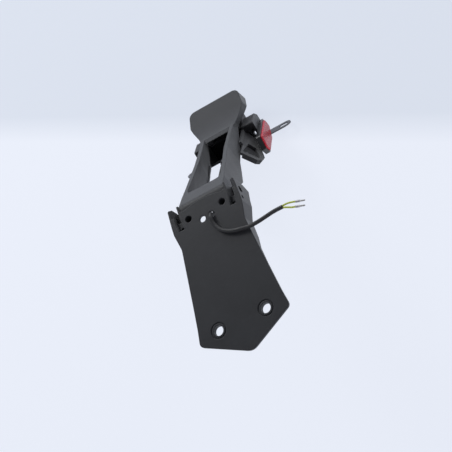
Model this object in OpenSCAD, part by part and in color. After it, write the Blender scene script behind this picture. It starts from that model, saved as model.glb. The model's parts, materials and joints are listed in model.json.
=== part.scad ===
// Tail tidy: a moulded carrier for a licence plate, its lamp and two side reflectors.
// Frame: the origin lies midway between the two mounting holes, on the top face of the panel.
// X runs across, Y runs rearwards from the V-shaped front to the hood, Z points up out of the panel.
// The two arms slope down behind the panel; s runs along them and d stands square to them.

/* [Panel] */
// Half width at the front corners of the panel
panel_half_w = 53; // [50:0.5:56]
// Distance from the mounting holes forward to the front corners
corner_y = 8; // [6:0.5:10]
// Length of the V between the corners and its tip
vee_len = 27.4; // [22:0.2:32]
// Radius that rounds the tip of the V
vee_r = 12; // [6:0.5:14]
// Half width at the waist, in front of the signal box
waist_half_w = 39.5; // [37:0.5:42]
// Distance from the mounting holes back to the waist
waist_y = 103; // [96:1:108]
// Thickness of the moulded sheet
sheet_t = 3; // [2.5:0.1:3.5]
// Distance between the two mounting holes
mount_spacing = 56; // [50:1:62]
// Diameter of a mounting hole
mount_hole_d = 11; // [8:0.1:12]
// Outer diameter of the groove round a mounting hole
mount_ring_d = 17.6; // [15:0.1:20]
// Width of that groove
mount_ring_w = 1.4; // [0.8:0.1:1.4]
// Depth of that groove
mount_ring_h = 0.8; // [0.4:0.1:1.2]

/* [Signal box] */
// Half width of the box outside its side walls
box_half_w = 43; // [42:0.5:46]
// Distance from the mounting holes back to the front of the box
box_front_y = 121; // [116:0.5:123]
// Distance from the mounting holes back to the rear wall of the box
box_rear_y = 151; // [149:0.5:154]
// Depth of the side walls at the back of the box
box_depth = 36; // [32:0.5:40]
// Thickness of the side walls and the rear walls
wall_t = 3; // [2.5:0.1:3.4]
// Distance between the two outer round holes
pin_spacing = 42.4; // [38:0.2:44]
// Diameter of the outer round holes
pin_d = 8; // [5:0.1:9]
// Depth of the sockets under them
pin_h = 13; // [8:0.5:14]
// Distance between the two cable holes
lead_spacing = 11.4; // [10.6:0.2:14]
// Diameter of the cable holes
lead_d = 7.5; // [6:0.1:8]
// Width of a slot in the top of the box
slot_w = 6.5; // [4:0.1:7]
// Distance of the middle of a slot from the centre line
slot_x = 34; // [33:0.1:35]
// Diameter of a turn signal hole in the side wall
signal_d = 8; // [6:0.1:10]
// Drop of the turn signal hole below the top of the box
signal_drop = 9; // [8:0.1:14]
// Diameter of the small locating hole in front of it
locator_d = 4.5; // [3:0.1:5]
// Height of the step from the panel down to the crossbar
seam_step = 1.2; // [0.6:0.1:1.8]

/* [Arms] */
// Slope of the arms below the panel, in degrees
arm_slope = 43.1; // [41:0.1:45]
// Half distance across the arms at the crossbar
arm_half_w = 27.7; // [27:0.1:28.5]
// Half distance across the arms at their waist
arm_waist_w = 22.6; // [22:0.1:24]
// Width of the top of an arm
arm_w = 5.2; // [4.5:0.1:6]
// Greatest depth of an arm
arm_depth = 34; // [30:0.5:35]
// Outward lean of the arms, in degrees
arm_lean = 4.5; // [3:0.1:5]
// Width of the flange inside the foot of an arm
foot_w = 4; // [3:0.1:5]
// Thickness of that flange
foot_t = 2.4; // [2:0.1:3]
// Start of the gap between the arms
gap_start = 31; // [28:0.5:34]
// End of the gap between the arms
gap_end = 176; // [172:0.5:179]

/* [Hood] */
// Half width of the hood at its widest
hood_half_w = 39; // [37:0.1:41]
// Half width of the hood at its rear edge
hood_rear_w = 36.2; // [34:0.1:37]
// Slope of the top of the hood, in degrees
hood_slope = 16.3; // [14:0.1:18]
// Length of the flat of the hood behind its widest point
hood_len = 32; // [30:0.5:34]
// Depth of the rear wall of the hood
hood_rear_h = 24; // [20:0.5:28]
// Thickness of the walls of the hood
hood_wall = 2.6; // [2.2:0.1:3]

/* [Plate bracket] */
// Half width outside the two cheeks
gusset_x = 31; // [30.5:0.1:31.5]
// Lean of the side wings, in degrees from upright
wing_lean = 31; // [29:0.1:33]
// Thickness of a side wing
wing_t = 6; // [5:0.1:6]
// Depth of the pocket in a side wing
wing_pocket = 4; // [2:0.1:4.5]
// Diameter of the round hole in a side wing
wing_hole_d = 6.4; // [4:0.1:7]
// Thickness of the cross walls of the bracket
cross_t = 3; // [2.4:0.1:3.2]
// Gap between the hood sheet and the pad of the bracket
pad_drop = 8; // [7:0.1:9]
// Diameter of the bosses that carry the bracket
boss_d = 9; // [8:0.1:10]
// Diameter of the screws that hold the bracket
pad_screw_d = 4; // [3.5:0.1:4.1]

/* [Plate strip] */
// Length of the metal strip
strip_len = 158; // [152:1:164]
// Width of the metal strip
strip_w = 17; // [14:0.2:17]
// Thickness of the metal strip
strip_t = 1.5; // [1.2:0.1:2.5]
// Distance from the end of the strip to the middle of a slot
strip_slot_edge = 10.5; // [9.5:0.1:12]
// Length of a strip slot
strip_slot_len = 13; // [10:0.5:14]
// Width of a strip slot
strip_slot_w = 8; // [5:0.1:8.4]
// Diameter of the screws and studs that hold the strip and the reflectors
bolt_d = 5; // [4:0.1:5.5]
// Distance between the two screws that hold the strip
strip_bolt_pitch = 34; // [30:1:36]
// Clearance round a screw in its hole
bolt_gap = 0.25; // [0.15:0.01:0.4]

/* [Reflectors] */
// Length of a reflector
reflector_len = 77; // [72:0.5:78]
// Height of a reflector
reflector_h = 26; // [24:0.2:27]
// Thickness of the housing of a reflector
reflector_t = 6; // [5:0.1:7]
// Thickness of the lens of a reflector
lens_t = 3.4; // [2.4:0.1:4]

/* [Plate lamp] */
// Width of the lamp across the bracket
lamp_w = 34; // [32:0.5:36]
// Length of the lamp
lamp_len = 18; // [17:0.5:20]
// Height of the lamp housing
lamp_h = 10; // [9:0.1:12]
// Thickness of the walls of the lamp housing
lamp_wall = 1.8; // [1.4:0.1:2]
// Thickness of the clear lamp lens
lamp_lens_t = 2.4; // [2:0.1:3]
// Diameter of the cable sheath
sheath_d = 4.4; // [3:0.1:4.4]
// Diameter of a wire core
core_d = 2; // [1.6:0.1:2]

/* [Hidden] */

// Small overlap that joins the forms of one moulding
e = 0.05;
ca = cos(arm_slope);
sa = sin(arm_slope);
// The plane of the arms meets the top of the panel here
arm_y = box_rear_y - 2.2;
// Widest point of the hood, on its top face
hood_at = [arm_y + 177.6, -155];
hc = cos(hood_slope);
hs = sin(hood_slope);
// Radii of the bends between panel, arms and hood
bend_r = 10;
hood_bend_r = 92;

// Turns arm coordinates into Y and Z, and back
function P(s, d) = [arm_y + ca * s + sa * d, ca * d - sa * s];
function Q(y, z) = [(y - arm_y) * ca - z * sa, (y - arm_y) * sa + z * ca];
// Turns hood coordinates into Y and Z
function H(u, v) = [hood_at[0] + hc * u + hs * v, hood_at[1] - hs * u + hc * v];
function unit(v) = v / norm(v);
function meet(p, u, q, v) = p + u * cross(q - p, v) / cross(u, v);
function back(list) = [for (i = [len(list) - 1:-1:0]) list[i]];
function flip(list) = [for (p = list) [-p[0], p[1]]];
// Rounds the corner b between a and c with radius r in n steps
function corner(a, b, c, r, n = 4) = r <= 0 ? [b] : let (
    u = unit(a - b),
    v = unit(c - b),
    half = acos(max(-1, min(1, u * v))) / 2,
    reach = min(r / tan(half), 0.48 * norm(a - b), 0.48 * norm(c - b)),
    rr = reach * tan(half),
    mid = b + unit(u + v) * rr / sin(half),
    p = b + u * reach - mid,
    q = b + v * reach - mid,
    a0 = atan2(p[1], p[0]),
    turn = (atan2(q[1], q[0]) - a0 + 540) % 360 - 180
  ) [for (i = [0:n]) mid + rr * [cos(a0 + turn * i / n), sin(a0 + turn * i / n)]];
// Rounds a closed outline whose points are [x, y, radius]
function soften(list, n = 4) = let (m = len(list)) [for (i = [0:m - 1]) let (
    a = list[(i + m - 1) % m],
    b = list[i],
    c = list[(i + 1) % m]
  ) each corner([a[0], a[1]], [b[0], b[1]], [c[0], c[1]], b[2], n)];
// Mirrors a half outline to the left and closes it
function both(list) = concat(list, [for (p = back(list)) [-p[0], p[1], p[2]]]);

// Centre line of the top face, lowered by off: crossbar, arms and hood
function top_path(off) = let (
    a = [box_front_y - 60, -seam_step - off],
    p1 = P(0, -off),
    p2 = H(0, -off),
    v1 = meet(a, [1, 0], p1, [ca, -sa]),
    v2 = meet(p1, [ca, -sa], p2, [hc, -hs]),
    z = H(hood_len + 20, -off)
  ) concat([a], corner(a, v1, v2, bend_r - off, 6), corner(v1, v2, z, hood_bend_r + off, 10), [z]);

module slab(list, z0, z1) {
  translate([0, 0, z0])
    linear_extrude(z1 - z0)
      polygon(list);
}
module across(list, x0, x1) {
  translate([x0, 0, 0])
    rotate([90, 0, 90])
      linear_extrude(x1 - x0)
        polygon(list);
}
module arm_frame() {
  translate([0, arm_y, 0])
    rotate([-arm_slope, 0, 0])
      children();
}
module hood_frame() {
  translate([0, hood_at[0], hood_at[1]])
    rotate([-hood_slope, 0, 0])
      children();
}
module pair() {
  children();
  mirror([1, 0, 0])
    children();
}
module rod(d, z0, z1) {
  translate([0, 0, z0])
    cylinder(d = d, h = z1 - z0, $fn = 32);
}

// Outline of the panel and the box, seen from above; inset moves the sides inwards
function panel_plan(inset = 0) = concat([[0, -corner_y - vee_len, vee_r]], both([
    [panel_half_w - inset, -corner_y, 5.5],
    [panel_half_w - 3 - inset, 10, 30],
    [panel_half_w - 6.2 - inset, 36, 60],
    [waist_half_w + 2 - inset, waist_y - 20, 50],
    [waist_half_w - inset, waist_y - 2, 12],
    [box_half_w - inset, box_front_y, 6],
    [box_half_w - inset, box_front_y + 9, 6],
    [box_half_w - 1 - inset, box_rear_y, 2]
  ]));
// Lower edge of the side walls, seen from the side
box_low = [box_rear_y - 6, -box_depth];
box_tail = [box_rear_y - 1, -box_depth + 14];
function wall_side() = [
    [40, 0.5 - sheet_t],
    [63, -5],
    [80, -15],
    [100, -20],
    [131, -28 * box_depth / 36],
    box_low,
    box_tail,
    [box_rear_y + 1, 0.5 - sheet_t]
  ];
// Seam where the panel steps down to the crossbar
seam_y = box_rear_y - 5;
seam_cut = concat(
    [for (i = [-6:6]) [24.4 * i / 6, seam_y - 3.6 * pow(i / 6, 2)]],
    [[28.6, box_rear_y - 7], [28.6, box_rear_y + 20], [-28.6, box_rear_y + 20], [-28.6, box_rear_y - 7]]
  );

// Outer and inner edges of an arm, seen square to the arms, as [x, s]
arm_outer = [
    [arm_half_w + 0.6, -2], [arm_half_w, 26], [arm_half_w - 1.2, 41],
    [arm_half_w - 3, 82], [arm_waist_w, 124], [arm_waist_w + 0.3, 160],
    [arm_waist_w + 1, 187], [arm_waist_w + 2, 204]
  ];
arm_inner = [for (p = arm_outer) [p[0] - arm_w, p[1]]];
// Lower edge of an arm, as [s, d]
arm_low = [
    [46, -0.79 * arm_depth], [77, -arm_depth], [100, -0.9 * arm_depth],
    [125, -26], [155, -22.5], [180, -17], [204, -9]
  ];
arm_side = concat([Q(box_rear_y - 3.5, -4), [0.5, 0], [204, 0]], back(arm_low), [Q(box_rear_y - 3.5, -22)]);
foot_side = concat([[34, -0.66 * arm_depth]], [for (i = [0:4]) arm_low[i]],
    [for (i = [4:-1:0]) arm_low[i] + [0, foot_t]], [[34, -0.66 * arm_depth + foot_t]]);
// Gap between the arms, seen from above
gap_plan = soften(both([
    [arm_half_w - arm_w - 0.2, P(gap_start, 0)[0], 6],
    [arm_half_w - arm_w - 3, P(82, 0)[0], 0],
    [arm_waist_w - arm_w, P(124, 0)[0], 0],
    [arm_waist_w - arm_w + 0.3, P(160, 0)[0], 0],
    [arm_waist_w - arm_w + 0.8, P(gap_end, 0)[0], 11]
  ]), 6);

// Outline of the hood, seen from above
function hood_plan(inset = 0, front = 0) = soften(both([
    [arm_waist_w + 0.1 - inset, P(158, 0)[0] - front, 0],
    [arm_waist_w + 1 - inset, P(187, 0)[0], 30],
    [arm_waist_w + 3.6 - inset, hood_at[0] - 29, 10],
    [hood_half_w - 3.4 - inset, hood_at[0] - 7, 12],
    [hood_half_w - inset, hood_at[0] + 4, 10],
    [hood_rear_w + 0.5 - inset, H(hood_len, 0)[0] - inset, 9 - inset]
  ]), 5);
// Lower edge of the skirt of the hood, seen from the side
hood_tip = H(hood_len, 0);
skirt_low = [
    P(156, -15), P(190, -11), [hood_at[0] - 0.4, hood_at[1] - 14],
    [hood_tip[0] - 2, hood_tip[1] - hood_rear_h], [hood_tip[0] + 2, hood_tip[1] - hood_rear_h - 1]
  ];

// Depth of the trough that takes the nut of a turn signal
trough_h = signal_drop + 8;

// Screws that hold the bracket pad to the hood, as [x, u, top of the boss]
pad_screws = [[-20, -24, 2.6], [20, -24, 2.6], [-21.4, 12, 1.5 - sheet_t], [21.4, 12, 1.5 - sheet_t]];
pad_v = -sheet_t - pad_drop;

module carrier_sheets() {
  slab(soften(panel_plan(), 5), -sheet_t, 0);
  // Side walls of the panel and the box
  intersection() {
    difference() {
      slab(soften(panel_plan(), 5), -60, -1);
      slab(soften(panel_plan(wall_t), 5), -70, 5);
    }
    across(wall_side(), -80, 80);
  }
  // Rear walls of the box, beside the arms
  pair()
    intersection() {
      translate([arm_half_w - arm_w, box_rear_y - wall_t, -60])
        cube([box_half_w - arm_half_w + arm_w - 1.2, wall_t, 59]);
      across(wall_side(), 0, 80);
    }
  // Crossbar, bent down from the panel
  intersection() {
    slab([[arm_half_w, box_rear_y - 16], [arm_half_w - 0.8, P(gap_start + 9, 0)[0]],
        [0.8 - arm_half_w, P(gap_start + 9, 0)[0]], [-arm_half_w, box_rear_y - 16]], -60, 10);
    across(concat(top_path(0), back(top_path(sheet_t))), -40, 40);
  }
}
module carrier_hood() {
  difference() {
    intersection() {
      slab(hood_plan(), -260, 0);
      across(concat([for (p = top_path(0)) if (p[0] > P(120, 0)[0]) p], back(skirt_low)), -60, 60);
    }
    intersection() {
      slab(hood_plan(hood_wall, 20), -280, 10);
      across(concat(top_path(sheet_t), [[hood_tip[0] + 40, -300], [0, -300]]), -60, 60);
    }
  }
}
module carrier_arms() {
  arm_frame()
    pair() {
      intersection() {
        translate([arm_half_w, 0, 0])
          rotate([0, -arm_lean, 0])
            translate([-arm_half_w, 0, 0])
              slab(concat(arm_outer, back(arm_inner)), -60, 6);
        across(arm_side, 5, 60);
      }
      across(foot_side, arm_waist_w - arm_w - foot_w + 1, arm_half_w - 3.6);
    }
}
module carrier_inside() {
  // Cross ribs under the panel
  for (y = [18, 58, 92])
    translate([-waist_half_w + 1, y, -sheet_t - (y < 30 ? 3 : 5)])
      cube([2 * waist_half_w - 2, 1.8, (y < 30 ? 3 : 5) + 1]);
  // Bosses round the mounting holes
  for (x = [-1, 1])
    translate([x * mount_spacing / 2, 0, 0])
      rod(mount_ring_d + 4, -sheet_t - 3, -1);
  // Sockets under the outer round holes
  pair()
    translate([pin_spacing / 2, box_front_y + 10, 0])
      rod(pin_d + 3, -pin_h - 1.5, -1);
  // Troughs under the box slots, which reach to the side walls
  pair()
    translate([slot_x - slot_w / 2 - 2, box_front_y - 1, -trough_h - 2])
      cube([box_half_w - wall_t - slot_x + slot_w / 2 + 2 + e, box_rear_y - box_front_y, trough_h + 1]);
  // Bosses that carry the bracket
  for (p = pad_screws)
    hood_frame()
      translate([p[0], p[1], 0])
        rod(boss_d, pad_v, p[2]);
}
module carrier_cuts() {
  // Everything above the bend of the crossbar
  intersection() {
    slab(seam_cut, -40, 20);
    across(concat(top_path(0), [[hood_tip[0], 60], [0, 60]]), -29, 29);
  }
  slab(gap_plan, -200, 20);
  for (x = [-1, 1])
    translate([x * mount_spacing / 2, 0, 0]) {
      rod(mount_hole_d, -20, 5);
      difference() {
        rod(mount_ring_d, -mount_ring_h, 5);
        rod(mount_ring_d - 2 * mount_ring_w, -2, 6);
      }
    }
  for (x = [-1, 1]) {
    translate([x * pin_spacing / 2, box_front_y + 10, 0])
      rod(pin_d, -pin_h, 5);
    translate([x * lead_spacing / 2, box_front_y + 2.2, 0])
      rod(lead_d, -20, 5);
  }
  pair() {
    // Shallow front of a slot, its deep rear and the small hole at its front
    slab([[slot_x - slot_w / 2 - 2, box_front_y + 1], [slot_x + slot_w / 2 - 1.5, box_front_y + 1],
        [slot_x + slot_w / 2, seam_y - 11], [slot_x - slot_w / 2, seam_y - 11]], -4.5, 5);
    slab([[slot_x - slot_w / 2, seam_y - 13], [slot_x + slot_w / 2, seam_y - 13],
        [slot_x + slot_w / 2, box_rear_y + 2], [slot_x - slot_w / 2, box_rear_y + 2]], -trough_h, 5);
    translate([slot_x - 1.8, box_front_y + 3.6, 0])
      rod(4, -trough_h + 4, 5);
    // Ramp beside the slot
    translate([0, seam_y - 6, 0])
      rotate([-90, 0, 0])
        linear_extrude(20)
          polygon([[slot_x, -1], [slot_x + slot_w / 2 + 3.2, -1], [slot_x + slot_w / 2 + 3.2, 0],
            [slot_x + slot_w / 2 - 0.5, 2.2], [slot_x, 2.2]]);
    // Turn signal hole and locating hole
    translate([box_half_w, seam_y - 7.5, -signal_drop])
      rotate([0, 90, 0])
        rod(signal_d, -12, 5);
    translate([box_half_w, seam_y - 18.5, -signal_drop + 3])
      rotate([0, 90, 0])
        rod(locator_d, -5, 5);
  }
  for (p = pad_screws)
    hood_frame()
      translate([p[0], p[1], 0])
        rod(pad_screw_d + 0.2, pad_v - 1, p[2] - 1);
}
// The carrier: panel, box, arms and hood in one moulding
module carrier() {
  color([0.2, 0.21, 0.23])
    difference() {
      union() {
        carrier_sheets();
        carrier_hood();
        carrier_arms();
        carrier_inside();
      }
      carrier_cuts();
    }
}

strip_s = 244;
strip_d = -45;
gusset_t = 3;
// Middle of a reflector
ref_s = 210;
// Side wing that leans outwards from under the arm to the reflector, as [t, s]; t runs down the wing
wing_x = 25;
wing_d = -14;
wing_side = [
    [6, 138], [29, 141], [35, 147], [38, 161], [31, 187], [31.5, ref_s + 9], [19, ref_s + 10.5],
    [16.5, ref_s + 21], [14, ref_s + 19], [5, 200], [2.5, 186], [7, 177]
  ];
wing_back = [[10.5, 139], [29, 141.5], [34.6, 147.5], [37.4, 161], [30.5, 187], [22, 187], [12, 184], [10.5, 181]];
wing_open = [[8.5, 146, 1.5], [14, 178, 2], [25.5, 175, 3], [31.5, 151, 2.5]];
// Front and rear of the sloping cross wall, the upright wall behind it and the seat of the strip
slope_at = [184, -32.2];
wall_s = 226;
seat_s = 255;
// Middle of the stud that holds a reflector
stud_s = ref_s + 18;
stud_d = -36;
ear_x = gusset_x + 12.5;
ear_side = soften([[stud_s - 18, -12, 2], [stud_s + 14, -12, 4], [stud_s + 27, -19, 3], [stud_s + 27, -34, 3],
    [stud_s + 18, strip_d + 1, 3], [stud_s - 16, strip_d + 1, 2], [stud_s - 18, -38, 2]], 3);
ear_top = soften([[stud_s - 18, -12, 2], [stud_s + 14, -12, 4], [stud_s + 27, -19, 3], [stud_s + 27, -27, 1],
    [stud_s - 12, -27, 1], [stud_s - 18, -20, 2]], 3);
pad_front = -28;
pad_rear = 22;

// A point on the lower face of the sloping wall, raised by h
function slope_low(h) = P(slope_at[0], slope_at[1] + h);

module wing_frame() {
  translate([wing_x, 0, wing_d])
    rotate([0, 90 - wing_lean, 0])
      children();
}
module bracket_solids() {
  arm_frame() {
    pair() {
      wing_frame()
        difference() {
          union() {
            slab(wing_side, -3, 0);
            slab(wing_back, -wing_t, -1);
          }
          slab(soften(wing_open, 4), -wing_pocket, 2);
          translate([17, ref_s + 2, 0])
            rod(wing_hole_d, -10, 2);
        }
      // Ear that carries a reflector
      across(ear_side, ear_x - 3, ear_x);
      difference() {
        across(ear_top, gusset_x - gusset_t - 1, ear_x - 3 + e);
        across([[stud_s - 12, -15], [stud_s + 13, -15], [stud_s + 23.5, -21], [stud_s + 23.5, -40],
          [stud_s - 12, -40]], gusset_x, ear_x - 3);
      }
    }
    // Sloping wall, upright wall and strip seat between the gusset plates
    across([slope_at, slope_at + [0.8, cross_t], [wall_s, strip_d + cross_t + 1.2],
        [wall_s, -14], [wall_s + cross_t, -12], [wall_s + cross_t, strip_d + cross_t],
        [seat_s, strip_d + cross_t], [seat_s, strip_d], [wall_s + 3, strip_d]],
      -gusset_x + 1, gusset_x - 1);
  }
  // Cheeks between the gusset plates and the pad
  pair()
    across([P(165, -15.2), P(212, -15.2), H(pad_front, pad_v - 1), H(pad_rear, pad_v - 1),
        P(seat_s, strip_d + 4), P(seat_s - 3, strip_d + 1), P(wall_s, strip_d + 1), slope_low(1), P(168, -21)],
      gusset_x - gusset_t - 2.4, gusset_x - gusset_t + 0.5);
  hood_frame()
    translate([-gusset_x + 3, pad_front, pad_v - cross_t])
      cube([2 * gusset_x - 6, pad_rear - pad_front, cross_t]);
}
module bracket() {
  color([0.13, 0.13, 0.14])
    difference() {
      bracket_solids();
      arm_frame() {
        for (x = [-1, 1])
          translate([x * strip_bolt_pitch / 2, strip_s, 0])
            rod(bolt_d + 2 * bolt_gap, strip_d - 3, strip_d + 6);
        pair()
          translate([0, stud_s, stud_d])
            rotate([0, 90, 0])
              rod(bolt_d + 2 * bolt_gap, ear_x - 5, ear_x + 2);
        // Passage for the cable through the upright wall
        translate([9 - sheath_d / 2 - 2, wall_s - 2, -23])
          cube([sheath_d + 4, cross_t + 4, 16]);
      }
      hood_frame() {
        for (p = pad_screws)
          translate([p[0], p[1], 0])
            rod(pad_screw_d + 2 * bolt_gap, pad_v - 9, pad_v + 2);
        for (x = [-1, 1])
          translate([x * lamp_screw_x, lamp_mid, 0])
            rod(3 + 2 * bolt_gap, pad_v - 9, pad_v + 2);
      }
    }
}
// A pan-head screw that stands on its head, with its shank up
module screw(d, len, head_d, head_h) {
  translate([0, 0, -head_h])
    difference() {
      rotate_extrude($fn = 32)
        polygon(concat([[0, 0]], [for (i = [0:3]) let (a = 30 + 20 * i)
            [head_d / 2 * (0.62 + 0.38 * sin(a)), head_h * (1 - cos(a)) * 0.6]],
          [[head_d / 2, head_h], [d / 2, head_h], [d / 2, head_h + len - 0.5],
            [d / 2 - 0.5, head_h + len], [0, head_h + len]]));
      translate([0, 0, -1])
        cylinder(d = head_d * 0.42, h = 1 + head_h * 0.6, $fn = 6);
    }
}
module nut(af, h, bore) {
  difference() {
    cylinder(d = af / cos(30), h = h * 0.7, $fn = 6);
    rod(bore, -1, h + 1);
  }
  difference() {
    rod(af - 0.6, h * 0.7 - e, h);
    rod(bore, -1, h + 1);
  }
}
module bracket_screws() {
  color([0.55, 0.56, 0.58])
    hood_frame()
      for (p = pad_screws)
        translate([p[0], p[1], pad_v - cross_t])
          screw(pad_screw_d, cross_t + pad_drop - 0.6, pad_screw_d * 1.9, 2.4);
}

module plate_strip() {
  color([0.62, 0.63, 0.65])
    arm_frame()
      translate([0, strip_s, strip_d - strip_t])
        difference() {
          union() {
            translate([-strip_len / 2 + strip_w / 2, -strip_w / 2, 0])
              cube([strip_len - strip_w, strip_w, strip_t]);
            for (x = [-1, 1])
              translate([x * (strip_len - strip_w) / 2, 0, 0])
                rod(strip_w, 0, strip_t);
          }
          for (x = [-1, 1]) {
            translate([x * (strip_len / 2 - strip_slot_edge), 0, 0]) {
              translate([-(strip_slot_len - strip_slot_w) / 2, -strip_slot_w / 2, -1])
                cube([strip_slot_len - strip_slot_w, strip_slot_w, strip_t + 2]);
              for (k = [-1, 1])
                translate([k * (strip_slot_len - strip_slot_w) / 2, 0, 0])
                  rod(strip_slot_w, -1, strip_t + 1);
            }
            translate([x * strip_bolt_pitch / 2, 0, 0])
              rod(bolt_d + 2 * bolt_gap, -1, strip_t + 1);
          }
        }
}
washer_t = 1;
nut_h = bolt_d * 0.85;
module strip_screws() {
  color([0.55, 0.56, 0.58])
    arm_frame()
      for (x = [-1, 1])
        translate([x * strip_bolt_pitch / 2, strip_s, strip_d - strip_t])
          screw(bolt_d, strip_t + cross_t + washer_t + nut_h + 1.5, bolt_d * 1.9, 2.8);
}
module strip_washers() {
  color([0.6, 0.61, 0.63])
    arm_frame()
      for (x = [-1, 1])
        translate([x * strip_bolt_pitch / 2, strip_s, strip_d + cross_t])
          difference() {
            rod(bolt_d * 2, 0, washer_t);
            rod(bolt_d + 2 * bolt_gap, -1, washer_t + 1);
          }
}
module strip_nuts() {
  color([0.6, 0.61, 0.63])
    arm_frame()
      for (x = [-1, 1])
        translate([x * strip_bolt_pitch / 2, strip_s, strip_d + cross_t + washer_t])
          nut(bolt_d * 1.6, nut_h, bolt_d + 0.2);
}

// Outline of a reflector, as [s, d]
ref_d = -37;
ref_side = soften([
    [ref_s - reflector_len / 2, ref_d - 3, 2], [ref_s - reflector_len / 2 + 9, ref_d - reflector_h / 2, 3],
    [ref_s + 14, ref_d - reflector_h / 2, 3], [ref_s + reflector_len / 2, ref_d - 0.5, 2],
    [ref_s + reflector_len / 2 - 5, ref_d + reflector_h / 2, 3],
    [ref_s - reflector_len / 2 + 7, ref_d + reflector_h / 2, 3]
  ], 4);
ref_in = [for (p = ref_side) [ref_s + (p[0] - ref_s) * 0.95, ref_d + (p[1] - ref_d) * 0.88]];
ref_cap = [for (p = ref_side) [ref_s + (p[0] - ref_s) * 0.9, ref_d + (p[1] - ref_d) * 0.76]];
lens_seat = ear_x + reflector_t - 1;
module reflector_body() {
  difference() {
    union() {
      across(ref_side, ear_x, ear_x + reflector_t);
      // Stud with a shoulder, moulded into the back
      translate([0, stud_s, stud_d])
        rotate([0, 90, 0])
          rod(bolt_d, ear_x - 3 - nut_h - 0.1, ear_x + 2);
    }
    across(ref_in, lens_seat, ear_x + reflector_t + 2);
  }
}
module reflector_lens() {
  intersection() {
    across([for (p = ref_in) [ref_s + (p[0] - ref_s) * 0.995, ref_d + (p[1] - ref_d) * 0.985]],
      lens_seat, lens_seat + lens_t);
    hull() {
      across(ref_in, lens_seat, lens_seat + lens_t - 1.6);
      across(ref_cap, lens_seat, lens_seat + lens_t);
    }
  }
}
module reflector_body_right() {
  color([0.1, 0.1, 0.11])
    arm_frame()
      reflector_body();
}
module reflector_body_left() {
  color([0.1, 0.1, 0.11])
    arm_frame()
      mirror([1, 0, 0])
        reflector_body();
}
module reflector_lens_right() {
  color([0.78, 0.08, 0.1])
    arm_frame()
      reflector_lens();
}
module reflector_lens_left() {
  color([0.78, 0.08, 0.1])
    arm_frame()
      mirror([1, 0, 0])
        reflector_lens();
}
module reflector_nuts() {
  color([0.6, 0.61, 0.63])
    arm_frame()
      pair()
        translate([ear_x - 3, stud_s, stud_d])
          rotate([0, -90, 0])
            nut(bolt_d * 1.6, nut_h - 0.6, bolt_d + 0.2);
}

// The lamp hangs from the pad of the bracket, in hood coordinates
lamp_mid = 9;
lamp_screw_x = 12.5;
lamp_top = pad_v - cross_t;
module lamp_housing() {
  color([0.08, 0.08, 0.09])
    hood_frame()
      difference() {
        translate([-lamp_w / 2, lamp_mid - lamp_len / 2, lamp_top - lamp_h])
          cube([lamp_w, lamp_len, lamp_h]);
        translate([-lamp_w / 2 + lamp_wall, lamp_mid - lamp_len / 2 + lamp_wall, lamp_top - lamp_h - 1])
          cube([lamp_w - 2 * lamp_wall, lamp_len - 2 * lamp_wall, 5]);
        for (x = [-1, 1])
          translate([x * lamp_screw_x, lamp_mid, 0])
            rod(3.2, lamp_top - 5.5, lamp_top + 1);
      }
}
module lamp_lens() {
  color([0.85, 0.88, 0.9])
    hood_frame()
      translate([-lamp_w / 2, lamp_mid - lamp_len / 2, lamp_top - lamp_h - lamp_lens_t])
        cube([lamp_w, lamp_len, lamp_lens_t]);
}
module lamp_board() {
  color([0.1, 0.35, 0.2])
    hood_frame()
      translate([-lamp_w / 2 + lamp_wall + 0.3, lamp_mid - lamp_len / 2 + lamp_wall + 0.3,
          lamp_top - lamp_h + 2.4])
        cube([lamp_w - 2 * lamp_wall - 0.6, lamp_len - 2 * lamp_wall - 0.6, 1.6]);
}
module lamp_leds() {
  color([0.95, 0.9, 0.6])
    hood_frame()
      for (x = [-9, 0, 9])
        translate([x - 1.75, lamp_mid - 1.4, lamp_top - lamp_h + 1.2])
          cube([3.5, 2.8, 1.2]);
}
module lamp_screws() {
  color([0.55, 0.56, 0.58])
    hood_frame()
      for (x = [-1, 1])
        translate([x * lamp_screw_x, lamp_mid, pad_v])
          mirror([0, 0, 1])
            screw(3, cross_t + 5, 5.6, 1.8);
}

// Route of the lamp cable: inside the right arm, out of the right cable hole, over the panel
hole_x = lead_spacing / 2;
hole_y = box_front_y + 2.2;
// Lane of the cable beside the inner face of the right arm
lane_x = min(arm_half_w - 3, arm_waist_w) - arm_w - 2.6;
sheath_route = [
    [9, 320.6, -172], [9, 311, -171.5], [9.4, 302, -169], [11, 293, -163.5], [13.2, 285, -151], [lane_x, 277, -137],
    [lane_x, 267, -122], [lane_x, 250, -106], [lane_x, 232, -89], [lane_x, 214, -72], [lane_x, 196, -55],
    [lane_x, 178, -38.5], [lane_x, 164, -26], [12, 152, -16], [9, 140, -11], [6.5, 129.5, -10], [hole_x, hole_y + 0.8, -6.5],
    [hole_x, hole_y, -1], [hole_x - 0.2, hole_y - 1.2, 2.6], [5.2, 118, 4.4], [5, 113.5, 3.6], [6, 109, 2.8],
    [8, 105, 2.5], [13, 98.5, 2.5], [22, 93, 2.7], [33, 90, 3], [43, 88, 3.6], [53, 87.5, 4.8], [63, 88, 6],
    [73, 88.5, 7.2], [84, 88, 8.4]
  ];
core_a_route = [[84.2, 88 + core_d / 2 + 0.05, 8.4], [90, 88.7, 8.9], [95, 87.4, 9.2], [99, 86, 9.2]];
core_b_route = [[84.5, 88 - core_d / 2 - 0.05, 8.4], [89, 84.6, 8.6], [93, 82.4, 8.8], [97, 81, 8.8]];
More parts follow.
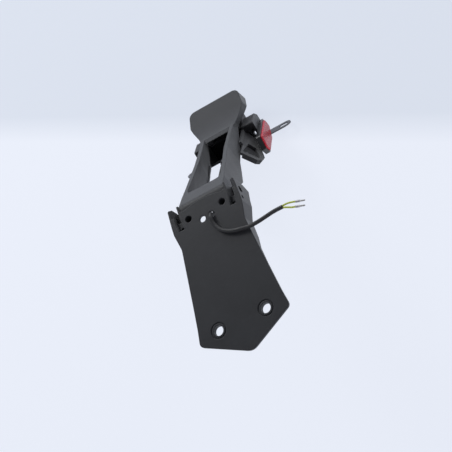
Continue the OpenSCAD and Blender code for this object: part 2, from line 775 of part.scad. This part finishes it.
// A smooth point on the route between its points i and i + 1
function spline(r, i, t) = let (
    a = r[max(i - 1, 0)],
    b = r[i],
    c = r[min(i + 1, len(r) - 1)],
    d = r[min(i + 2, len(r) - 1)]
  ) 0.5 * (2 * b + (c - a) * t + (2 * a - 5 * b + 4 * c - d) * t * t + (3 * b - a - 3 * c + d) * t * t * t);
function smooth(r, n) = concat([for (i = [0:len(r) - 2]) for (k = [0:n - 1]) spline(r, i, k / n)],
    [r[len(r) - 1]]);
// Side direction carried along the route without twist
function carry(t, prev) = unit(prev - t * (prev * t));
function frames(path, i = 0, side = [0, 0, 1]) = i >= len(path) ? [] : let (
    t = unit(path[min(i + 1, len(path) - 1)] - path[max(i - 1, 0)]),
    u = carry(t, side)
  ) concat([[path[i], u, cross(t, u)]], frames(path, i + 1, u));
module tube(route, d, n, sides = 8) {
  fr = frames(smooth(route, n), 0, [0.9, 0.1, 0.4]);
  m = len(fr);
  polyhedron(
    points = [for (f = fr) for (k = [0:sides - 1]) f[0] + d / 2 * (cos(360 * k / sides) * f[1]
        + sin(360 * k / sides) * f[2])],
    faces = concat(
      [[for (k = [0:sides - 1]) k]],
      [for (i = [0:m - 2]) for (k = [0:sides - 1]) let (a = i * sides + k, b = i * sides + (k + 1) % sides)
        each [[a, a + sides, b], [b, a + sides, b + sides]]],
      [[for (k = [sides - 1:-1:0]) (m - 1) * sides + k]]));
}
module cable_sheath() {
  color([0.06, 0.06, 0.06])
    tube(sheath_route, sheath_d, 2, 10);
}
module core_a() {
  color([0.72, 0.78, 0.16])
    tube(core_a_route, core_d, 2);
}
module core_b() {
  color([0.72, 0.78, 0.16])
    tube(core_b_route, core_d, 2);
}
// A crimped pin on the end of a core, pointing away from it
module terminal(route) {
  p = route[len(route) - 1];
  v = p - route[len(route) - 2];
  translate(p)
    rotate([0, 0, atan2(v[1], v[0])])
      rotate([0, acos(v[2] / norm(v)), 0])
        rotate_extrude($fn = 24)
          polygon([[0, 0.1], [1.3, 0.1], [1.3, 4.4], [0.9, 5], [0.9, 9.6], [0.5, 10.4], [0, 10.4]]);
}
module terminal_a() {
  color([0.75, 0.76, 0.78])
    terminal(core_a_route);
}
module terminal_b() {
  color([0.75, 0.76, 0.78])
    terminal(core_b_route);
}
// Clips that hold the cable to the inside of the right arm
clip_points = [[lane_x, 250, -106], [lane_x, 214, -72]];
clip_gap = 0.25;
// Inner face of the right arm at s and d
function inner_x(s, d) = lookup(s, [for (p = arm_inner) [p[1], p[0]]]) - d * tan(arm_lean);
module cable_clips() {
  color([0.09, 0.09, 0.1])
    for (p = clip_points)
      let (at = Q(p[1], p[2]))
        translate(p)
          rotate([-arm_slope, 0, 0])
            rotate([-90, 0, 0])
              difference() {
                union() {
                  rod(sheath_d + 2.2, -3, 3);
                  translate([0, -1.5, -3])
                    cube([inner_x(at[0], at[1] + 1.5) - p[0] - clip_gap, 3, 6]);
                }
                rod(sheath_d + 0.5, -4, 4);
              }
}

carrier();
bracket();
bracket_screws();
plate_strip();
strip_screws();
strip_nuts();
strip_washers();
reflector_body_right();
reflector_body_left();
reflector_lens_right();
reflector_lens_left();
reflector_nuts();
lamp_housing();
lamp_lens();
lamp_board();
lamp_leds();
lamp_screws();
cable_clips();
cable_sheath();
core_a();
core_b();
terminal_a();
terminal_b();
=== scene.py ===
import json
import math

import bpy
from mathutils import Matrix, Vector

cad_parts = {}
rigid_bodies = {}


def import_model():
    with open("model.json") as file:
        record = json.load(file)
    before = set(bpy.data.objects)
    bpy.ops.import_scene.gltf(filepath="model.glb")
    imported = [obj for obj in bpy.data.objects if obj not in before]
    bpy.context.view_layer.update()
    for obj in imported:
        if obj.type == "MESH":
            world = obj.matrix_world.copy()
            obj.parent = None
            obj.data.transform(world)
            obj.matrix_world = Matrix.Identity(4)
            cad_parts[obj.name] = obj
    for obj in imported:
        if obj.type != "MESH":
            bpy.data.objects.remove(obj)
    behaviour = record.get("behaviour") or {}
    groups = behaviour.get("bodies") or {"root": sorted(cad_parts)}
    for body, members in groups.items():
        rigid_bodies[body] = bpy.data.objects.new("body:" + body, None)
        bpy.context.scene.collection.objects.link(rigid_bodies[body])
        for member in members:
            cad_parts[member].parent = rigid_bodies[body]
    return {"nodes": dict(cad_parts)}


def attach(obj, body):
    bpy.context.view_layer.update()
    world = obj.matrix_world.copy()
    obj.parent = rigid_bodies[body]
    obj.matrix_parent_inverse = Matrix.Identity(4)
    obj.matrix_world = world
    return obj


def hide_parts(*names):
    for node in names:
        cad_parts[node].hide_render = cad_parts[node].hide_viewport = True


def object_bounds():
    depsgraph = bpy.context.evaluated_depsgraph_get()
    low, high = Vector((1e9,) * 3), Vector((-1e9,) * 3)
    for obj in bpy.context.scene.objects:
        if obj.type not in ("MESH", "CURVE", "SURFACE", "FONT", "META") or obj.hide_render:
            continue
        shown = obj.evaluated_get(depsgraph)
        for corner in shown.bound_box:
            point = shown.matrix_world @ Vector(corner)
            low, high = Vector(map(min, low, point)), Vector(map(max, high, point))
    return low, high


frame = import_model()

CAD_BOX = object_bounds()

bl_info = {
    "name": "Tail tidy",
    "version": (1, 0, 0),
    "blender": (4, 5, 0),
    "location": "3D View > Sidebar > Tail Tidy",
    "description": "Finishes a moulded licence plate carrier with its lamp lead, reflectors and stage",
    "category": "Add Mesh",
}

# The photograph's camera: place in metres, turn, and side of its frame in pixels
CAMERA_PLACE = (0.3217, -0.3541, 0.8983)
CAMERA_TURN = ((0.8488, 0.4426, 0.2892), (-0.2955, 0.8507, -0.4346), (-0.4384, 0.2834, 0.8529))
FRAME_PIXELS = 452.0

# Studio: lamp name, place in metres, diameter, watts and colour
LAMPS = (
    ("rear_lamp", (-0.2, 2.3, 1.0), 1.8, 16.0, (0.96, 0.98, 1.0)),
    ("top_lamp", (-0.45, 1.0, 0.75), 0.5, 5.8, (1.0, 1.0, 1.0)),
    ("low_lamp", (1.2, -1.9, 0.4), 0.9, 12.0, (1.0, 1.0, 1.0)),
    ("right_lamp", (1.6, 1.4, 0.6), 1.4, 8.0, (1.0, 1.0, 1.0)),
)
LAMP_TARGET = (0.0, 0.15, -0.05)
FLOOR_SIDE, FLOOR_DROP = 12.0, 0.002
FLOOR_GLOW = 0.88            # share of the floor that shows its own flat colour
FAR_FLOOR = (0.4988, 0.8667, 0.0)   # direction in which the floor turns a shade darker
ROOM_FILL = 0.62             # strength of the room's light on matt surfaces

# Moulded skin
EDGE_RADIUS = 0.0011
SKIN_SPECULAR, SKIN_SHEEN, SHEEN_ROUGHNESS = 0.24, 0.25, 0.45

# Route of the lamp lead in metres: inside the right arm, out of the box, over the panel
HOLE_X, HOLE_Y, LANE_X = 0.0057, 0.1232, 0.0148
SHEATH_ROUTE = [
    (0.009, 0.3206, -0.172), (0.009, 0.311, -0.1715), (0.0094, 0.302, -0.169), (0.011, 0.293, -0.1635),
    (0.0132, 0.285, -0.151), (LANE_X, 0.277, -0.137), (LANE_X, 0.267, -0.122),
    (LANE_X, 0.250, -0.106), (LANE_X, 0.232, -0.089),
    (LANE_X, 0.214, -0.072), (LANE_X, 0.196, -0.055), (LANE_X, 0.178, -0.0385), (LANE_X, 0.164, -0.026),
    (0.012, 0.152, -0.016), (0.009, 0.140, -0.011), (0.0065, 0.1295, -0.010),
    (HOLE_X, HOLE_Y + 0.0008, -0.0065), (HOLE_X, HOLE_Y, -0.001), (HOLE_X - 0.0002, HOLE_Y - 0.0012, 0.0026),
    (0.0052, 0.118, 0.0044), (0.005, 0.1135, 0.0036), (0.006, 0.109, 0.0028), (0.008, 0.105, 0.0025),
    (0.013, 0.0985, 0.0025), (0.022, 0.093, 0.0027), (0.033, 0.090, 0.003), (0.043, 0.088, 0.0036),
    (0.053, 0.0875, 0.0048), (0.063, 0.088, 0.006), (0.073, 0.0885, 0.0072), (0.084, 0.088, 0.0084),
]
CORE_ROUTES = {
    "core_a": [(0.0842, 0.08905, 0.0084), (0.090, 0.0887, 0.0089),
               (0.095, 0.0874, 0.0092), (0.099, 0.086, 0.0092)],
    "core_b": [(0.0845, 0.08695, 0.0084), (0.089, 0.0846, 0.0086),
               (0.093, 0.0824, 0.0088), (0.097, 0.081, 0.0088)],
}


class LeadSizes(bpy.types.PropertyGroup):
    """Sizes and colours of the lamp lead"""
    sheath: bpy.props.FloatProperty(
        name="Sheath diameter", description="Outer diameter of the black sheath",
        default=0.0044, min=0.003, max=0.006, unit="LENGTH")
    core: bpy.props.FloatProperty(
        name="Core diameter", description="Outer diameter of one insulated wire",
        default=0.002, min=0.001, max=0.0025, unit="LENGTH")
    sheath_colour: bpy.props.FloatVectorProperty(
        name="Sheath colour", description="Colour of the sheath", subtype="COLOR", size=4,
        min=0.0, max=1.0, default=(0.008, 0.008, 0.009, 1.0))
    core_colour: bpy.props.FloatVectorProperty(
        name="Core colour", description="Colour of the wire insulation", subtype="COLOR", size=4,
        min=0.0, max=1.0, default=(0.45, 0.5, 0.05, 1.0))


class MouldingSizes(bpy.types.PropertyGroup):
    """Finish of the moulded plastic"""
    colour: bpy.props.FloatVectorProperty(
        name="Carrier colour", description="Colour of the grained black plastic", subtype="COLOR", size=4,
        min=0.0, max=1.0, default=(0.019, 0.020, 0.023, 1.0))
    bracket_colour: bpy.props.FloatVectorProperty(
        name="Bracket colour", description="Colour of the plate bracket", subtype="COLOR", size=4,
        min=0.0, max=1.0, default=(0.012, 0.012, 0.014, 1.0))
    grain: bpy.props.FloatProperty(
        name="Grain", description="Number of grains across a metre of the moulded skin",
        default=1500.0, min=300.0, max=4000.0)
    roughness: bpy.props.FloatProperty(
        name="Roughness", description="Roughness of the moulded skin", subtype="FACTOR",
        default=0.5, min=0.1, max=1.0)


class ReflectorSizes(bpy.types.PropertyGroup):
    """Finish of the reflectors"""
    colour: bpy.props.FloatVectorProperty(
        name="Lens colour", description="Colour of the reflector lens", subtype="COLOR", size=4,
        min=0.0, max=1.0, default=(0.62, 0.008, 0.03, 1.0))
    cell: bpy.props.FloatProperty(
        name="Prism size", description="Width of one prism behind the lens",
        default=0.0022, min=0.001, max=0.006, unit="LENGTH")


class StageSizes(bpy.types.PropertyGroup):
    """Camera lens and backdrop colour"""
    backdrop: bpy.props.FloatVectorProperty(
        name="Backdrop colour", description="Colour of the floor and the background", subtype="COLOR", size=4,
        min=0.0, max=1.0, default=(0.85, 0.89, 0.99, 1.0))
    lens: bpy.props.FloatProperty(
        name="Focal length", description="Focal length of the camera on a 36 mm sensor, in millimetres",
        default=79.49, min=20.0, max=200.0)


# ---- shared steps ----
def clear_choice():
    """Leaves nothing selected, so that an operator acts only on the new piece."""
    for each in bpy.context.view_layer.objects:
        each.select_set(False)


def smooth_route(points, steps):
    """Points on one smooth curve through the route, steps to a stretch."""
    p = [Vector(q) for q in points]
    last = len(p) - 1
    out = []
    for i in range(last):
        a, b, c, d = p[max(i - 1, 0)], p[i], p[i + 1], p[min(i + 2, last)]
        for k in range(steps):
            t = k / steps
            out.append(0.5 * (2 * b + (c - a) * t + (2 * a - 5 * b + 4 * c - d) * t * t
                              + (3 * b - a - 3 * c + d) * t ** 3))
    out.append(p[last])
    return out


def add_wire(name, points, diameter):
    """A round wire as one open curve along its points."""
    curve = bpy.data.curves.new(name, "CURVE")
    curve.dimensions = "3D"
    line = curve.splines.new("POLY")
    line.points.add(len(points) - 1)
    for point, place in zip(line.points, points):
        point.co = (place.x, place.y, place.z, 1.0)
    curve.bevel_depth = diameter / 2
    curve.bevel_resolution = 5
    curve.use_fill_caps = True
    wire = bpy.data.objects.new(name, curve)
    bpy.context.scene.collection.objects.link(wire)
    return wire


# ---- materials ----
def new_material(name):
    """A node material holding only a Principled shader wired to its output; returns the material, its node
    tree and the shader.
    """
    mat = bpy.data.materials.new(name)
    mat.use_nodes = True
    tree = mat.node_tree
    tree.nodes.clear()
    out = tree.nodes.new("ShaderNodeOutputMaterial")
    shader = tree.nodes.new("ShaderNodeBsdfPrincipled")
    tree.links.new(shader.outputs["BSDF"], out.inputs["Surface"])
    return mat, tree, shader


def object_coords(tree, scale=(1.0, 1.0, 1.0), turn=(0.0, 0.0, 0.0)):
    coord = tree.nodes.new("ShaderNodeTexCoord")
    mapping = tree.nodes.new("ShaderNodeMapping")
    mapping.inputs["Scale"].default_value = scale
    mapping.inputs["Rotation"].default_value = turn
    tree.links.new(coord.outputs["Object"], mapping.inputs["Vector"])
    return mapping.outputs["Vector"]


def noise(tree, vector, scale, detail=3.0, rough=0.55):
    node = tree.nodes.new("ShaderNodeTexNoise")
    node.inputs["Scale"].default_value = scale
    node.inputs["Detail"].default_value = detail
    node.inputs["Roughness"].default_value = rough
    tree.links.new(vector, node.inputs["Vector"])
    return node.outputs["Fac"]


def spread(tree, value, low, high, from_low=0.3, from_high=0.7):
    node = tree.nodes.new("ShaderNodeMapRange")
    node.inputs["From Min"].default_value = from_low
    node.inputs["From Max"].default_value = from_high
    node.inputs["To Min"].default_value = low
    node.inputs["To Max"].default_value = high
    tree.links.new(value, node.inputs["Value"])
    return node.outputs["Result"]


def blend_colours(tree, factor, first, second):
    node = tree.nodes.new("ShaderNodeMix")
    node.data_type = "RGBA"
    node.inputs["A"].default_value = first
    node.inputs["B"].default_value = second
    tree.links.new(factor, node.inputs["Factor"])
    return node.outputs["Result"]


def add_bump(tree, shader, height, strength, distance, under=None):
    node = tree.nodes.new("ShaderNodeBump")
    node.inputs["Strength"].default_value = strength
    node.inputs["Distance"].default_value = distance
    tree.links.new(height, node.inputs["Height"])
    if under:
        tree.links.new(under, node.inputs["Normal"])
    tree.links.new(node.outputs["Normal"], shader.inputs["Normal"])
    return node.outputs["Normal"]


def shade(colour, factor):
    return (min(colour[0] * factor, 1.0), min(colour[1] * factor, 1.0), min(colour[2] * factor, 1.0), 1.0)


def combine(tree, operation, first, second):
    """One Math node; each value is a socket or a number."""
    node = tree.nodes.new("ShaderNodeMath")
    node.operation = operation
    for socket, value in zip(node.inputs, (first, second)):
        if isinstance(value, float):
            socket.default_value = value
        else:
            tree.links.new(value, socket)
    return node.outputs[0]


def seen_rays(tree):
    """One for the rays that show the backdrop: to the camera, off gloss and through glass."""
    path = tree.nodes.new("ShaderNodeLightPath").outputs
    either = combine(tree, "MAXIMUM", path["Is Camera Ray"], path["Is Glossy Ray"])
    return combine(tree, "MAXIMUM", either, path["Is Transmission Ray"])


def soft_edges(tree):
    """The normal of a moulded skin whose sharp edges are broken by a small radius."""
    node = tree.nodes.new("ShaderNodeBevel")
    node.samples = 6
    node.inputs["Radius"].default_value = EDGE_RADIUS
    return node.outputs["Normal"]


def grained_plastic(name, colour, grain, roughness):
    """Black moulded plastic: fine grain, cloudy gloss, faint dust and rubbed patches."""
    mat, tree, shader = new_material(name)
    place = object_coords(tree)
    cloud = noise(tree, place, 22.0, 4.0, 0.6)
    dust = noise(tree, place, 160.0, 5.0, 0.65)
    tint = blend_colours(tree, spread(tree, cloud, 0.0, 1.0), shade(colour, 0.86), shade(colour, 1.18))
    mix = tree.nodes.new("ShaderNodeMix")
    mix.data_type = "RGBA"
    mix.inputs["B"].default_value = shade(colour, 2.1)
    tree.links.new(tint, mix.inputs["A"])
    tree.links.new(spread(tree, dust, 0.0, 0.22, 0.55, 0.8), mix.inputs["Factor"])
    tree.links.new(mix.outputs["Result"], shader.inputs["Base Color"])
    tree.links.new(spread(tree, cloud, roughness - 0.05, roughness + 0.06), shader.inputs["Roughness"])
    shader.inputs["Specular IOR Level"].default_value = SKIN_SPECULAR
    shader.inputs["Sheen Weight"].default_value = SKIN_SHEEN
    shader.inputs["Sheen Roughness"].default_value = SHEEN_ROUGHNESS
    cells = tree.nodes.new("ShaderNodeTexVoronoi")
    cells.inputs["Scale"].default_value = grain
    tree.links.new(place, cells.inputs["Vector"])
    first = add_bump(tree, shader, cells.outputs["Distance"], 0.35, 0.00012, soft_edges(tree))
    add_bump(tree, shader, noise(tree, place, 60.0, 2.0), 0.08, 0.0008, first)
    return mat


def plain_plastic(name, colour, roughness, coat=0.0):
    """Smooth plastic with slight unevenness in its gloss."""
    mat, tree, shader = new_material(name)
    place = object_coords(tree)
    cloud = noise(tree, place, 90.0, 3.0)
    tint = blend_colours(tree, spread(tree, cloud, 0.0, 1.0), shade(colour, 0.85), shade(colour, 1.15))
    tree.links.new(tint, shader.inputs["Base Color"])
    tree.links.new(spread(tree, cloud, roughness * 0.85, roughness * 1.2), shader.inputs["Roughness"])
    shader.inputs["Coat Weight"].default_value = coat
    add_bump(tree, shader, noise(tree, place, 900.0, 2.0), 0.1, 0.0001)
    return mat


def metal(name, colour, roughness, streak=(1.0, 1.0, 1.0)):
    """Worn plated steel; streak stretches the brushing along an axis."""
    mat, tree, shader = new_material(name)
    place = object_coords(tree, streak)
    cloud = noise(tree, place, 260.0, 5.0, 0.6)
    tint = blend_colours(tree, spread(tree, cloud, 0.0, 1.0), shade(colour, 0.78), shade(colour, 1.12))
    tree.links.new(tint, shader.inputs["Base Color"])
    tree.links.new(spread(tree, cloud, roughness * 0.8, roughness * 1.3), shader.inputs["Roughness"])
    shader.inputs["Metallic"].default_value = 1.0
    add_bump(tree, shader, cloud, 0.12, 0.0001)
    return mat


def reflector_red(name, colour, cell):
    """Clear red lens over a field of small corner prisms."""
    mat, tree, shader = new_material(name)
    place = object_coords(tree, (1.0 / cell, 1.0 / cell, 1.0 / cell), (math.radians(43.1), 0.0, 0.0))
    cells = tree.nodes.new("ShaderNodeTexVoronoi")
    cells.feature = "F1"
    cells.inputs["Scale"].default_value = 1.0
    cells.inputs["Randomness"].default_value = 0.12
    tree.links.new(place, cells.inputs["Vector"])
    glint = tree.nodes.new("ShaderNodeTexNoise")
    glint.inputs["Scale"].default_value = 0.8
    tree.links.new(place, glint.inputs["Vector"])
    tint = blend_colours(tree, spread(tree, cells.outputs["Distance"], 0.0, 1.0, 0.1, 0.6),
                         shade(colour, 1.35), shade(colour, 0.55))
    tree.links.new(tint, shader.inputs["Base Color"])
    tree.links.new(spread(tree, glint.outputs["Fac"], 0.2, 0.42), shader.inputs["Roughness"])
    shader.inputs["Specular IOR Level"].default_value = 0.42
    add_bump(tree, shader, cells.outputs["Distance"], 0.4, 0.0006)
    return mat


def clear_lens(name):
    """Clear moulded lamp lens with faint flutes."""
    mat, tree, shader = new_material(name)
    place = object_coords(tree)
    shader.inputs["Base Color"].default_value = (0.9, 0.93, 0.95, 1.0)
    shader.inputs["Transmission Weight"].default_value = 0.9
    shader.inputs["IOR"].default_value = 1.49
    ripple = noise(tree, place, 300.0, 2.0)
    tree.links.new(spread(tree, ripple, 0.05, 0.16), shader.inputs["Roughness"])
    add_bump(tree, shader, ripple, 0.15, 0.0004)
    return mat


def dress(node, mat):
    """Gives a node of the frame its material."""
    mesh = frame["nodes"][node].data
    mesh.materials.clear()
    mesh.materials.append(mat)


# ---- pieces ----
class TIDY_OT_lead(bpy.types.Operator):
    """Makes the lamp lead: its sheath, its two wires and their tinned pins"""
    bl_idname = "tidy.lead"
    bl_label = "Lamp lead"

    def execute(self, context):
        sizes = context.scene.tidy_lead
        rubber = plain_plastic("sheath_rubber", sizes.sheath_colour[:], 0.55)
        skin = plain_plastic("core_insulation", sizes.core_colour[:], 0.35, 0.2)
        tin = metal("tinned_pin", (0.36, 0.35, 0.34, 1.0), 0.35)
        route = smooth_route(SHEATH_ROUTE, 6)
        sheath = add_wire("lead_sheath", route, sizes.sheath)
        sheath.data.materials.append(rubber)
        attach(sheath, "root")
        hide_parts("cable_sheath")
        for node, points in CORE_ROUTES.items():
            core = add_wire("lead_" + node, smooth_route(points, 8), sizes.core)
            core.data.materials.append(skin)
            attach(core, "root")
            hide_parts(node)
        for node in ("terminal_a", "terminal_b"):
            dress(node, tin)
        return {"FINISHED"}


class TIDY_OT_mouldings(bpy.types.Operator):
    """Finishes the carrier and the plate bracket in grained plastic, and the cable clips in plain nylon"""
    bl_idname = "tidy.mouldings"
    bl_label = "Mouldings"

    def execute(self, context):
        sizes = context.scene.tidy_moulding
        for node, colour in (("carrier", sizes.colour[:]), ("bracket", sizes.bracket_colour[:])):
            dress(node, grained_plastic(node + "_grain", colour, sizes.grain, sizes.roughness))
        dress("cable_clips", plain_plastic("clip_nylon", (0.015, 0.015, 0.016, 1.0), 0.4))
        return {"FINISHED"}


class TIDY_OT_metalwork(bpy.types.Operator):
    """Finishes the plate strip, screws, washers and nuts"""
    bl_idname = "tidy.metalwork"
    bl_label = "Metalwork"

    def execute(self, context):
        plated = metal("plated_screws", (0.55, 0.56, 0.58, 1.0), 0.32)
        for node in ("bracket_screws", "strip_screws", "strip_nuts", "strip_washers", "lamp_screws"):
            dress(node, plated)
        dress("reflector_nuts", metal("blackened_nuts", (0.07, 0.07, 0.075, 1.0), 0.5))
        dress("plate_strip", metal("strip_finish", (0.12, 0.12, 0.13, 1.0), 0.45, (0.1, 1.0, 1.0)))
        return {"FINISHED"}


class TIDY_OT_reflectors(bpy.types.Operator):
    """Finishes the two side reflectors"""
    bl_idname = "tidy.reflectors"
    bl_label = "Reflectors"

    def execute(self, context):
        sizes = context.scene.tidy_reflector
        red = reflector_red("reflector_prisms", sizes.colour[:], sizes.cell)
        black = plain_plastic("reflector_shell", (0.012, 0.012, 0.013, 1.0), 0.3)
        for side in ("right", "left"):
            dress("reflector_lens_" + side, red)
            dress("reflector_body_" + side, black)
        return {"FINISHED"}


class TIDY_OT_lamp(bpy.types.Operator):
    """Finishes the plate lamp under the hood"""
    bl_idname = "tidy.lamp"
    bl_label = "Plate lamp"

    def execute(self, context):
        dress("lamp_housing", plain_plastic("lamp_shell", (0.012, 0.012, 0.013, 1.0), 0.35))
        dress("lamp_lens", clear_lens("lamp_lens_clear"))
        dress("lamp_board", plain_plastic("board_resin", (0.02, 0.2, 0.08, 1.0), 0.35, 0.4))
        dress("lamp_leds", plain_plastic("light_source", (0.9, 0.8, 0.45, 1.0), 0.3, 0.5))
        return {"FINISHED"}


class TIDY_OT_stage(bpy.types.Operator):
    """Sets the camera, the lamps, the pale floor and the background"""
    bl_idname = "tidy.stage"
    bl_label = "Stage"

    def execute(self, context):
        sizes = context.scene.tidy_stage
        scene = context.scene
        scene.view_settings.view_transform = "Standard"
        clear_choice()
        bpy.ops.object.camera_add(location=CAMERA_PLACE, rotation=Matrix(CAMERA_TURN).to_euler())
        camera = context.active_object
        camera.name = "photo_camera"
        camera.data.sensor_width = 36.0
        camera.data.lens = sizes.lens
        camera.data.shift_y = -1.0 / FRAME_PIXELS
        camera.data.clip_start = 0.05
        camera.data.clip_end = 40.0
        scene.camera = camera
        for name, place, size, power, colour in LAMPS:
            bpy.ops.object.light_add(type="AREA", location=place)
            lamp = context.active_object
            lamp.name = name
            lamp.data.shape = "DISK"
            lamp.data.size = size
            lamp.data.energy = power
            lamp.data.color = colour
            aim = Vector(LAMP_TARGET) - Vector(place)
            lamp.rotation_euler = aim.to_track_quat("-Z", "Y").to_euler()
        low = min(corner[2] for corner in CAD_BOX)
        clear_choice()
        bpy.ops.mesh.primitive_plane_add(size=FLOOR_SIDE, location=(0.0, 0.0, low - FLOOR_DROP))
        floor = context.active_object
        floor.name = "pale_floor"
        floor.data.materials.append(self.backdrop_material(sizes.backdrop[:]))
        world = bpy.data.worlds.new("pale_room")
        scene.world = world
        world.use_nodes = True
        tree = world.node_tree
        ground = tree.nodes["Background"]
        ground.inputs["Color"].default_value = sizes.backdrop[:]
        level = spread(tree, seen_rays(tree), ROOM_FILL, 1.0, 0.0, 1.0)
        around = tree.nodes.new("ShaderNodeTexCoord")
        height = tree.nodes.new("ShaderNodeSeparateXYZ")
        tree.links.new(around.outputs["Generated"], height.inputs["Vector"])
        fade = spread(tree, height.outputs["Z"], 1.0, 0.34, 0.25, 0.75)
        tree.links.new(combine(tree, "MULTIPLY", level, fade), ground.inputs["Strength"])
        return {"FINISHED"}

    def backdrop_material(self, colour):
        """A pale matt floor that the camera sees nearly flat, with the shadow kept."""
        mat = bpy.data.materials.new("pale_card")
        mat.use_nodes = True
        tree = mat.node_tree
        tree.nodes.clear()
        out = tree.nodes.new("ShaderNodeOutputMaterial")
        mix = tree.nodes.new("ShaderNodeMixShader")
        card = tree.nodes.new("ShaderNodeBsdfDiffuse")
        card.inputs["Color"].default_value = (0.8, 0.82, 0.86, 1.0)
        glow = tree.nodes.new("ShaderNodeEmission")
        across = tree.nodes.new("ShaderNodeVectorMath")
        across.operation = "DOT_PRODUCT"
        across.inputs[1].default_value = FAR_FLOOR
        tree.links.new(object_coords(tree), across.inputs[0])
        darker = (colour[0] * 0.84, colour[1] * 0.86, colour[2] * 0.88, 1.0)
        far = spread(tree, across.outputs["Value"], 0.0, 1.0, 0.27, 0.31)
        tree.links.new(blend_colours(tree, far, colour, darker), glow.inputs["Color"])
        tree.links.new(combine(tree, "MULTIPLY", seen_rays(tree), FLOOR_GLOW), mix.inputs["Fac"])
        tree.links.new(card.outputs["BSDF"], mix.inputs[1])
        tree.links.new(glow.outputs["Emission"], mix.inputs[2])
        # From below, the floor lets the underside of the part be seen
        side = tree.nodes.new("ShaderNodeNewGeometry")
        below = tree.nodes.new("ShaderNodeMixShader")
        tree.links.new(side.outputs["Backfacing"], below.inputs["Fac"])
        tree.links.new(mix.outputs["Shader"], below.inputs[1])
        tree.links.new(tree.nodes.new("ShaderNodeBsdfTransparent").outputs["BSDF"], below.inputs[2])
        tree.links.new(below.outputs["Shader"], out.inputs["Surface"])
        return mat


class TIDY_PT_panel(bpy.types.Panel):
    """Lists the steps that make the tail tidy"""
    bl_label = "Tail tidy"
    bl_idname = "TIDY_PT_panel"
    bl_space_type = "VIEW_3D"
    bl_region_type = "UI"
    bl_category = "Tail Tidy"

    def draw(self, context):
        layout = self.layout
        for group, steps in (("tidy_lead", ("tidy.lead",)), ("tidy_moulding", ("tidy.mouldings",)),
                             ("tidy_reflector", ("tidy.reflectors",)),
                             ("tidy_stage", ("tidy.metalwork", "tidy.lamp", "tidy.stage"))):
            box = layout.box()
            settings = getattr(context.scene, group)
            for name in settings.bl_rna.properties.keys():
                if name not in ("rna_type", "name"):
                    box.prop(settings, name)
            for step in steps:
                box.operator(step)


GROUPS = {"tidy_lead": LeadSizes, "tidy_moulding": MouldingSizes, "tidy_reflector": ReflectorSizes,
          "tidy_stage": StageSizes}
STEPS = (TIDY_OT_stage, TIDY_OT_lead, TIDY_OT_mouldings, TIDY_OT_metalwork, TIDY_OT_reflectors, TIDY_OT_lamp)


def register():
    for each in tuple(GROUPS.values()) + STEPS + (TIDY_PT_panel,):
        bpy.utils.register_class(each)
    for name, group in GROUPS.items():
        setattr(bpy.types.Scene, name, bpy.props.PointerProperty(type=group))


def unregister():
    for name in GROUPS:
        delattr(bpy.types.Scene, name)
    for each in reversed(tuple(GROUPS.values()) + STEPS + (TIDY_PT_panel,)):
        bpy.utils.unregister_class(each)


def main():
    register()
    bpy.ops.tidy.stage()
    bpy.ops.tidy.lead()
    bpy.ops.tidy.mouldings()
    bpy.ops.tidy.metalwork()
    bpy.ops.tidy.reflectors()
    bpy.ops.tidy.lamp()


if __name__ == "__main__":
    main()
